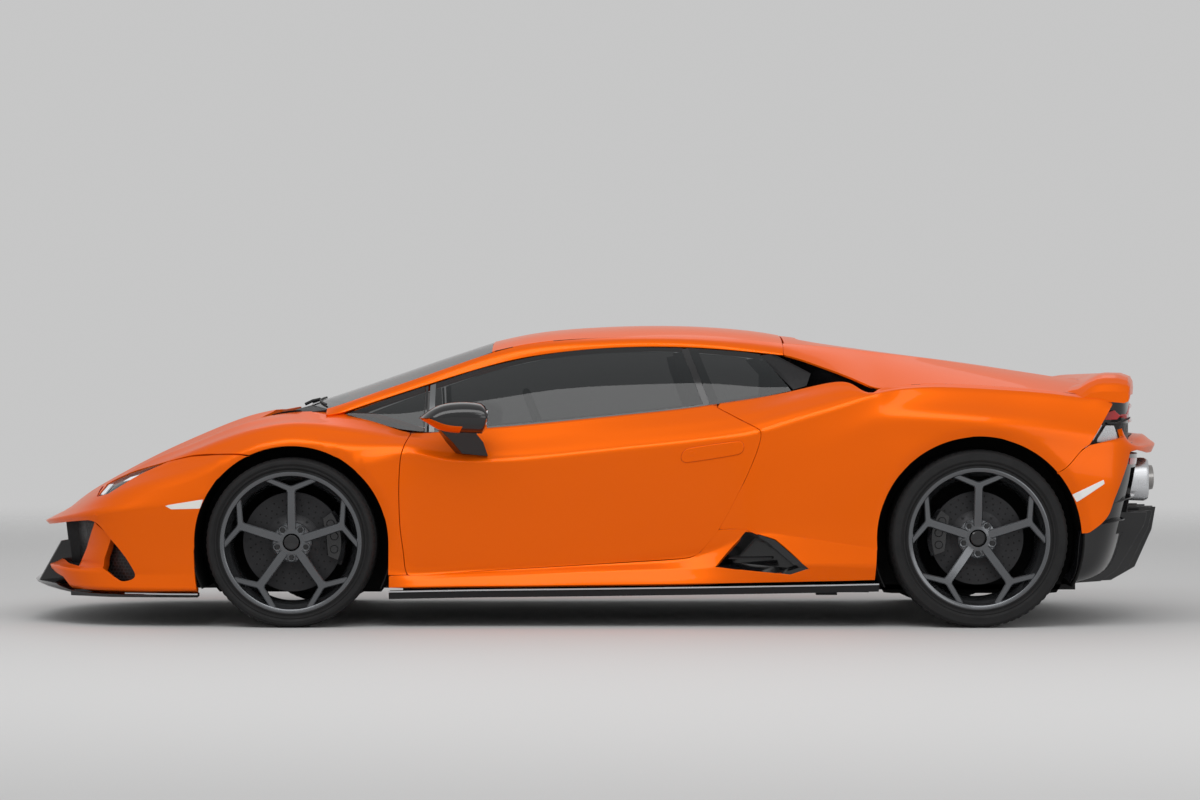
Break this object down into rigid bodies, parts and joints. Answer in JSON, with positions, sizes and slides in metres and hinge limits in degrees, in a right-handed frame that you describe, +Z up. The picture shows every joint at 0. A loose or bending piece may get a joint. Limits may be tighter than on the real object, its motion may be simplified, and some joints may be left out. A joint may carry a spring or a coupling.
{
  "type": "mid-engine supercar coupe",
  "caption": "Low wedge-shaped two-seat mid-engine coupe with hinged doors, front lid and rear lid, steered front wheels and free-turning wheels.",
  "frame": {"origin": "on the ground, under the middle of the overall length and width", "axes": "+X forward (towards the nose), +Y towards the car's left, +Z up"},
  "size_m": [4.5195, 2.17, 1.1679],
  "materials": {
    "paint": "gloss metallic",
    "black_gloss": "gloss",
    "black_satin": "satin",
    "glass": "tinted clear",
    "glass_dark": "dark tint",
    "lamp_clear": "clear cover over dark housing",
    "lamp_red": "gloss",
    "exhaust": "brushed",
    "structure": "satin",
    "cabin_leather": "satin",
    "engine": "cast",
    "suspension": "satin",
    "tyre": "matte",
    "rim": "satin graphite",
    "disc": "machined"
  },
  "bodies": {
    "chassis": {"cowl": "black_satin", "dashboard": "cabin_leather", "engine": "engine", "exhaust_tips": "exhaust", "floor_pan": "black_satin", "front_bumper": "paint", "front_fenders": "paint", "front_splitter": "black_satin", "grilles": "black_satin", "headlamps": "lamp_clear", "rear_bumper": "paint", "rear_diffuser": "black_gloss", "rear_quarters": "paint", "rear_spoiler": "paint", "roof": "paint", "seats": "cabin_leather", "side_intakes": "black_satin", "side_windows": "glass_dark", "sills": "paint", "steering_wheel": "cabin_leather", "suspension": "suspension", "tail_lamps": "lamp_red", "tub": "structure", "wheel_liners": "black_satin", "windscreen": "glass"},
    "knuckle_left": {"knuckle_left": "suspension"},
    "knuckle_right": {"knuckle_right": "suspension"},
    "door_left": {"door_left": "paint", "door_glass_left": "glass_dark", "mirror_left": "black_gloss"},
    "door_right": {"door_right": "paint", "door_glass_right": "glass_dark", "mirror_right": "black_gloss"},
    "front_lid": {"hood": "paint"},
    "rear_lid": {"engine_cover": "black_gloss"},
    "wheel_front_left": {"rim_front_left": "rim", "tyre_front_left": "tyre", "disc_front_left": "disc"},
    "wheel_front_right": {"rim_front_right": "rim", "tyre_front_right": "tyre", "disc_front_right": "disc"},
    "wheel_rear_left": {"rim_rear_left": "rim", "tyre_rear_left": "tyre", "disc_rear_left": "disc"},
    "wheel_rear_right": {"rim_rear_right": "rim", "tyre_rear_right": "tyre", "disc_rear_right": "disc"}
  },
  "joints": [
    {"name": "steer_left", "type": "hinge", "parent": "chassis", "child": "knuckle_left", "pos_m": [1.1665, 0.752, 0.324], "axis": [0, 0, 1], "range_deg": [-30, 30]},
    {"name": "steer_right", "type": "hinge", "parent": "chassis", "child": "knuckle_right", "pos_m": [1.1665, -0.752, 0.324], "axis": [0, 0, 1], "range_deg": [-30, 30]},
    {"name": "spin_front_left", "type": "hinge", "parent": "knuckle_left", "child": "wheel_front_left", "pos_m": [1.1665, 0.818, 0.324], "axis": [0, 1, 0], "continuous": true},
    {"name": "spin_rear_left", "type": "hinge", "parent": "chassis", "child": "wheel_rear_left", "pos_m": [-1.4535, 0.797, 0.339], "axis": [0, 1, 0], "continuous": true},
    {"name": "spin_front_right", "type": "hinge", "parent": "knuckle_right", "child": "wheel_front_right", "pos_m": [1.1665, -0.818, 0.324], "axis": [0, 1, 0], "continuous": true},
    {"name": "spin_rear_right", "type": "hinge", "parent": "chassis", "child": "wheel_rear_right", "pos_m": [-1.4535, -0.797, 0.339], "axis": [0, 1, 0], "continuous": true},
    {"name": "door_left_hinge", "type": "hinge", "parent": "chassis", "child": "door_left", "pos_m": [0.6745, 0.902, 0.45], "axis": [0, 0, -1], "range_deg": [0, 60]},
    {"name": "door_right_hinge", "type": "hinge", "parent": "chassis", "child": "door_right", "pos_m": [0.6745, -0.902, 0.45], "axis": [0, 0, 1], "range_deg": [0, 60]},
    {"name": "front_lid_hinge", "type": "hinge", "parent": "chassis", "child": "front_lid", "pos_m": [1.2065, 0, 0.842], "axis": [0, -1, 0], "range_deg": [0, 55]},
    {"name": "rear_lid_hinge", "type": "hinge", "parent": "chassis", "child": "rear_lid", "pos_m": [-0.7285, 0, 1.122], "axis": [0, 1, 0], "range_deg": [0, 50]}
  ],
  "couplings": [
    {"joint": "steer_right", "follows": "steer_left", "ratio": 1}
  ]
}
